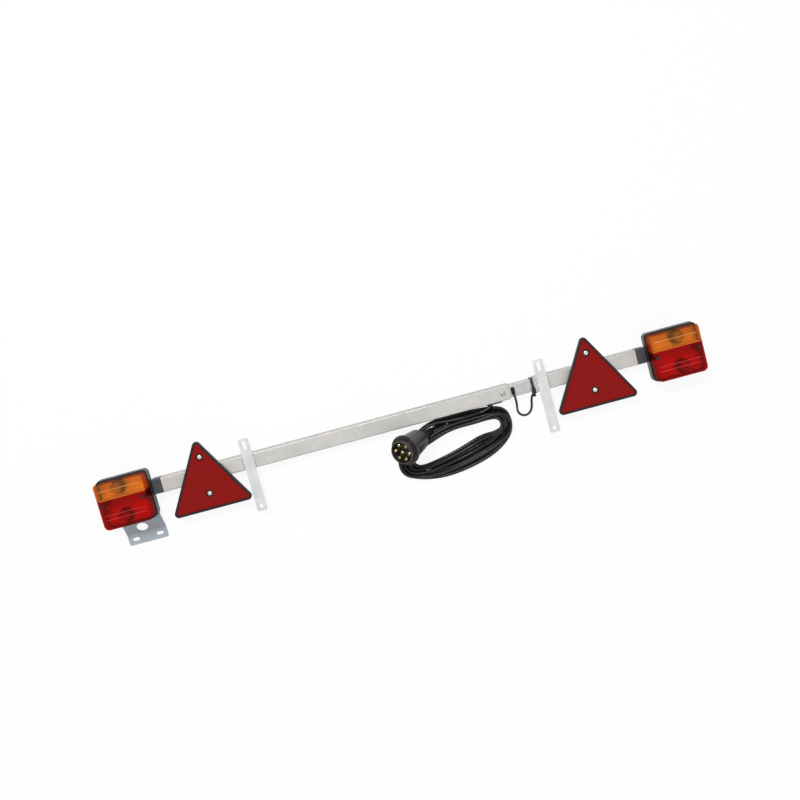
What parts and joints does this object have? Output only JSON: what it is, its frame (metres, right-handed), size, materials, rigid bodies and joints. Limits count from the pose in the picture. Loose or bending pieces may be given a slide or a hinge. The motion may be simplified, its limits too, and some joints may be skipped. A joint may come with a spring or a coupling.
{
  "type": "trailer lighting board",
  "caption": "Telescopic trailer lighting board: a square bar with a rear lamp and a triangular reflector at each end, fixing straps, a number plate bracket, a coiled cable and a plug.",
  "frame": {"origin": "middle of the closed bar on the back face of the longer tube, which is the plane the board lies on", "axes": "+X along the bar towards the extending end, +Y towards the top edge of the lamps, +Z out of the lenses"},
  "size_m": [1.204, 0.2023, 0.1171],
  "materials": {
    "bracket_steel": "galvanised sheet",
    "bright_screw": "polished",
    "bulb_brass": "brass",
    "bulb_glass": "clear",
    "cable_sheath": "smooth black sheath",
    "carrier_plastic": "white or metallised",
    "galvanised_tube": "matt galvanised steel",
    "gasket_rubber": "black foam seal",
    "gland_rubber": "black",
    "holder_plastic": "black",
    "housing_plastic": "black",
    "inner_tube_steel": "darker galvanised steel",
    "lens_amber": "clear amber",
    "lens_red": "clear red",
    "outlet_rubber": "black",
    "pin_brass": "brass",
    "plug_core": "grey",
    "plug_shell": "dark grey",
    "reflector_red": "dark red prism plate",
    "rivet_aluminium": "blind rivet",
    "socket_plastic": "dark",
    "strap_steel": "bright zinc plate",
    "tie_nylon": "black",
    "tray_plastic": "black",
    "zinc_fastener": "zinc-plated"
  },
  "bodies": {
    "bar": {"cable_hank": "cable_sheath", "cable_lead": "cable_sheath", "cable_outlet": "outlet_rubber", "cable_tail": "cable_sheath", "clamp_screw": "zinc_fastener", "left_amber_lens": "lens_amber", "left_bulb_caps": "bulb_brass", "left_bulb_carrier": "carrier_plastic", "left_bulb_glasses": "bulb_glass", "left_bulb_sockets": "socket_plastic", "left_lamp_base": "housing_plastic", "left_lamp_bolts": "zinc_fastener", "left_lamp_gasket": "gasket_rubber", "left_lamp_holder": "holder_plastic", "left_lamp_nuts": "zinc_fastener", "left_lens_screws": "bright_screw", "left_red_lens": "lens_red", "left_reflector_nuts": "zinc_fastener", "left_reflector_prism": "reflector_red", "left_reflector_screws": "bright_screw", "left_reflector_strip": "strap_steel", "left_reflector_tray": "tray_plastic", "left_strap": "strap_steel", "left_tube": "galvanised_tube", "number_plate_bracket": "bracket_steel", "plug_body": "plug_shell", "plug_gland": "gland_rubber", "plug_insert": "plug_core", "plug_pins": "pin_brass"},
    "extension": {"inner_tube": "inner_tube_steel", "right_tube": "galvanised_tube", "extension_rivets": "rivet_aluminium", "link_cable": "cable_sheath", "cable_tie": "tie_nylon", "right_amber_lens": "lens_amber", "right_bulb_caps": "bulb_brass", "right_bulb_carrier": "carrier_plastic", "right_bulb_glasses": "bulb_glass", "right_bulb_sockets": "socket_plastic", "right_lamp_base": "housing_plastic", "right_lamp_bolts": "zinc_fastener", "right_lamp_gasket": "gasket_rubber", "right_lamp_holder": "holder_plastic", "right_lamp_nuts": "zinc_fastener", "right_lens_screws": "bright_screw", "right_red_lens": "lens_red", "right_reflector_nuts": "zinc_fastener", "right_reflector_prism": "reflector_red", "right_reflector_screws": "bright_screw", "right_reflector_strip": "strap_steel", "right_reflector_tray": "tray_plastic", "right_strap": "strap_steel"}
  },
  "joints": [
    {"name": "bar_slide", "type": "slide", "parent": "bar", "child": "extension", "axis": [1, 0, 0], "range_m": [0, 0.4]}
  ]
}
